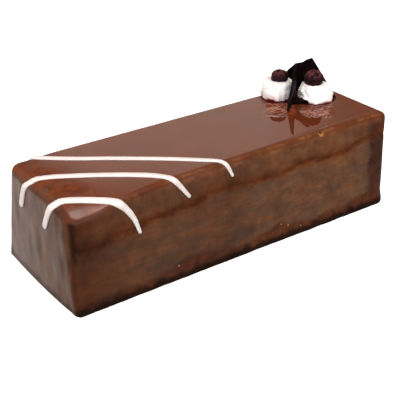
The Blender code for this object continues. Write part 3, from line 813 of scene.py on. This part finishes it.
def cherryPiece(place, spec):
    shape = cherryShape
    low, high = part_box("cherry_" + place)
    centre = (low + high) / 2
    centre.z = low.z + spec["halfHeight"] * mm
    centre += Vector(spec["offset"]) * mm
    bm = bmesh.new()
    bmesh.ops.create_uvsphere(bm, u_segments=shape["across"], v_segments=shape["up"], radius=1.0)
    crown = bm.verts.layers.float.new("crown")
    for vert in bm.verts:
        way = vert.co.normalized()
        # the top of the cherry, which its finish paints lighter as painted light
        vert[crown] = between(way.z, *shape["crown"])
        flat = math.hypot(way.x, way.y)
        dimple = shape["dimple"] * bell(math.atan2(flat, way.z), shape["dimpleWidth"])
        fold = 1.0 - abs(noise.noise(way * shape["wrinkles"] + Vector((spec["seed"], 0, 0))))
        bump = noise.noise(way * shape["bumps"] + Vector((0, spec["seed"], 0)))
        reach = spec["radius"] - shape["wrinkle"] * (fold ** 6 - 0.4) + shape["bump"] * bump
        girth = max(flat, 1e-3) ** (spec["boxy"] - 1.0) * reach
        level = math.copysign(abs(way.z) ** spec["boxy"], way.z) * reach / spec["radius"]
        vert.co = Vector((way.x * girth, way.y * girth, level * spec["halfHeight"] - dimple)) * mm + centre
    return addPiece("cherry" + place.capitalize(), bm, cherry, "dark_cherry", "cherry_" + place)


cherry = cherryFinish()
for place, spec in cherries.items():
    cherryPiece(place, spec)
print("cherries set")


plateShape = {"grid": 0.40 * mm, "smoothing": 4, "lumps": ((0.10 * mm, 0.006), (0.04 * mm, 0.0018))}


def chocolatePlate(node, name):
    bm = bmesh.new()
    bm.from_mesh(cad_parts[node].data)
    bmesh.ops.remove_doubles(bm, verts=bm.verts, dist=1e-6)
    mesh = bpy.data.meshes.new(name + "Rough")
    bm.to_mesh(mesh)
    bm.free()
    rough = bpy.data.objects.new(name + "Rough", mesh)
    bpy.context.scene.collection.objects.link(rough)
    remesh = rough.modifiers.new("even", "REMESH")
    remesh.mode = "VOXEL"
    remesh.voxel_size = plateShape["grid"]
    ready = rough.evaluated_get(bpy.context.evaluated_depsgraph_get())
    bm = bmesh.new()
    bm.from_mesh(ready.to_mesh())
    ready.to_mesh_clear()
    bpy.data.objects.remove(rough)
    for i in range(plateShape["smoothing"]):
        bmesh.ops.smooth_vert(bm, verts=bm.verts, factor=0.5,
                              use_axis_x=True, use_axis_y=True, use_axis_z=True)
    bm.normal_update()
    for vert in bm.verts:
        lump = sum(height * noise.noise(vert.co / size) for height, size in plateShape["lumps"])
        vert.co += vert.normal * lump
    return addPiece(name, bm, chocolate, "dark_chocolate", node)


chocolate = chocolateFinish()
chocolatePlate("chocolate_fin", "chocolateFin")
chocolatePlate("chocolate_shard", "chocolateShard")


chip = {"spot": (104.6, 11.0, 80.8), "half": (8.4, 3.6, 2.6), "turn": -35.0, "jag": 0.30,
        "bevel": 0.25, "seed": (4.0, 1.0, 7.0)}


def chocolateChip():  # broken off at the foot of the fin
    bm = bmesh.new()
    bmesh.ops.create_cube(bm, size=2.0)
    bmesh.ops.bevel(bm, geom=bm.edges, offset=chip["bevel"], segments=3, affect="EDGES",
                    profile=0.5, material=-1)
    bmesh.ops.subdivide_edges(bm, edges=bm.edges, cuts=5, use_grid_fill=True)
    for vert in bm.verts:
        vert.co *= 1.0 + chip["jag"] * noise.noise(vert.co * 0.9 + Vector(chip["seed"]))
    bmesh.ops.scale(bm, vec=Vector(chip["half"]) * mm, verts=bm.verts)
    bmesh.ops.rotate(bm, cent=(0, 0, 0), verts=bm.verts,
                     matrix=Matrix.Rotation(math.radians(chip["turn"]), 3, "Z"))
    bmesh.ops.translate(bm, vec=Vector(chip["spot"]) * mm, verts=bm.verts)
    return addPiece("chocolateChip", bm, chocolate, "dark_chocolate")


chocolateChip()
print("chocolate plates set")


studio = {
    "floorSize": 6.0, "floorGlow": 0.6, "sideSky": (0.36, 0.22, 0.16),
    "skyPatches": [  # the way to each, where it starts and is full, and its colour
        ((-0.695, 0.719, 0.0), -0.02, 0.10, (0.99, 0.80, 0.68)),
        ((-0.75, 0.66, 0.05), 0.78, 0.95, (0.40, 0.30, 0.24)),
        ((-0.58, -0.81, 0.25), 0.35, 0.80, (0.10, 0.09, 0.08))],
    "lowGlow": (0.30, 0.29, 0.28), "endGlow": (1.10, 1.01, 0.93), "endWay": (0.087, 0.996, 0.0),
}
lamps = {  # place, what it points at, size, watts, and whether it only shows in reflections
    "frontSoftbox": ((-0.30, -0.95, 1.20), (0.0, 0.0, 0.05), (1.5, 1.2), 24.0, False),
    "fillSoftbox": ((-1.45, -0.15, 0.40), (0.0, 0.0, 0.04), (0.8, 0.6), 15.0, False),
    "sideSoftbox": ((0.10, -1.30, 0.40), (0.0, 0.0, 0.04), (1.2, 0.8), 11.0, False),
    "cornerCard": ((-0.036, -0.100, 0.50), (-0.036, -0.100, 0.0), (0.08, 0.18), 0.65, True),
}


def makeFloor():
    bm = bmesh.new()
    bmesh.ops.create_grid(bm, x_segments=1, y_segments=1, size=studio["floorSize"] / 2)
    mesh = bpy.data.meshes.new("floor")
    bm.to_mesh(mesh)
    bm.free()
    floor = bpy.data.objects.new("floor", mesh)
    bpy.context.scene.collection.objects.link(floor)
    material, board = newFinish("paleFloor")
    closeFinish(board, board.add("ShaderNodeBsdfPrincipled", inputs={
        "Base Color": (0.85, 0.85, 0.85, 1.0), "Roughness": 0.9, "Specular IOR Level": 0.0,
        "Emission Color": (1.0, 1.0, 1.0, 1.0), "Emission Strength": studio["floorGlow"]}))
    mesh.materials.append(material)
    floor.visible_glossy = False
    floor.visible_diffuse = False


def makeSky():
    world = bpy.data.worlds.new("studioSky")
    bpy.context.scene.world = world
    world.use_nodes = True
    board = Board(world.node_tree)
    way = board.add("ShaderNodeTexCoord", output="Generated")

    def towards(direction):
        aim = Vector(direction).normalized()
        return board.add("ShaderNodeVectorMath", {"operation": "DOT_PRODUCT"}, {0: way, 1: aim}, "Value")

    sky = studio["sideSky"]
    for patch, start, full, tint in studio["skyPatches"]:
        sky = board.blend(towards(patch).ease(start, full), sky, tint)
    ground = board.blend(towards(studio["endWay"]).ease(0.52, 0.78), studio["lowGlow"], studio["endGlow"])
    color = board.blend(towards((0, 0, 1)).ease(-0.12, 0.12), ground, sky)
    back = board.add("ShaderNodeBackground", inputs={"Color": color, "Strength": 1.0})
    board.add("ShaderNodeOutputWorld", inputs={"Surface": back})


def addLamp(name, position, target, size, watts, reflectedOnly):
    light = bpy.data.lights.new(name, "AREA")
    light.shape = "RECTANGLE"
    light.size, light.size_y = size
    light.energy = watts
    lamp = bpy.data.objects.new(name, light)
    bpy.context.scene.collection.objects.link(lamp)
    lamp.location = position
    lamp.rotation_euler = (Vector(target) - Vector(position)).to_track_quat("-Z", "Y").to_euler()
    lamp.visible_glossy, lamp.visible_diffuse = reflectedOnly, not reflectedOnly


makeFloor()
makeSky()
for name, spec in lamps.items():
    addLamp(name, *spec)
print("studio lit")

view = {"spot": (-0.3840, -0.5220, 0.3652), "heading": 54.26, "dip": 27.87, "lens": 80.3}
camera = bpy.data.objects.new("camera", bpy.data.cameras.new("camera"))
bpy.context.scene.collection.objects.link(camera)
heading, dip = math.radians(view["heading"]), math.radians(view["dip"])
aim = Vector((math.cos(heading) * math.cos(dip), math.sin(heading) * math.cos(dip), -math.sin(dip)))
camera.location = view["spot"]
camera.rotation_euler = aim.to_track_quat("-Z", "Y").to_euler()
camera.data.lens, camera.data.sensor_width = view["lens"], 36.0
camera.data.clip_start, camera.data.clip_end = 0.01, 20.0
bpy.context.scene.camera = camera
bpy.context.scene.view_settings.view_transform = "Standard"

bpy.context.view_layer.update()
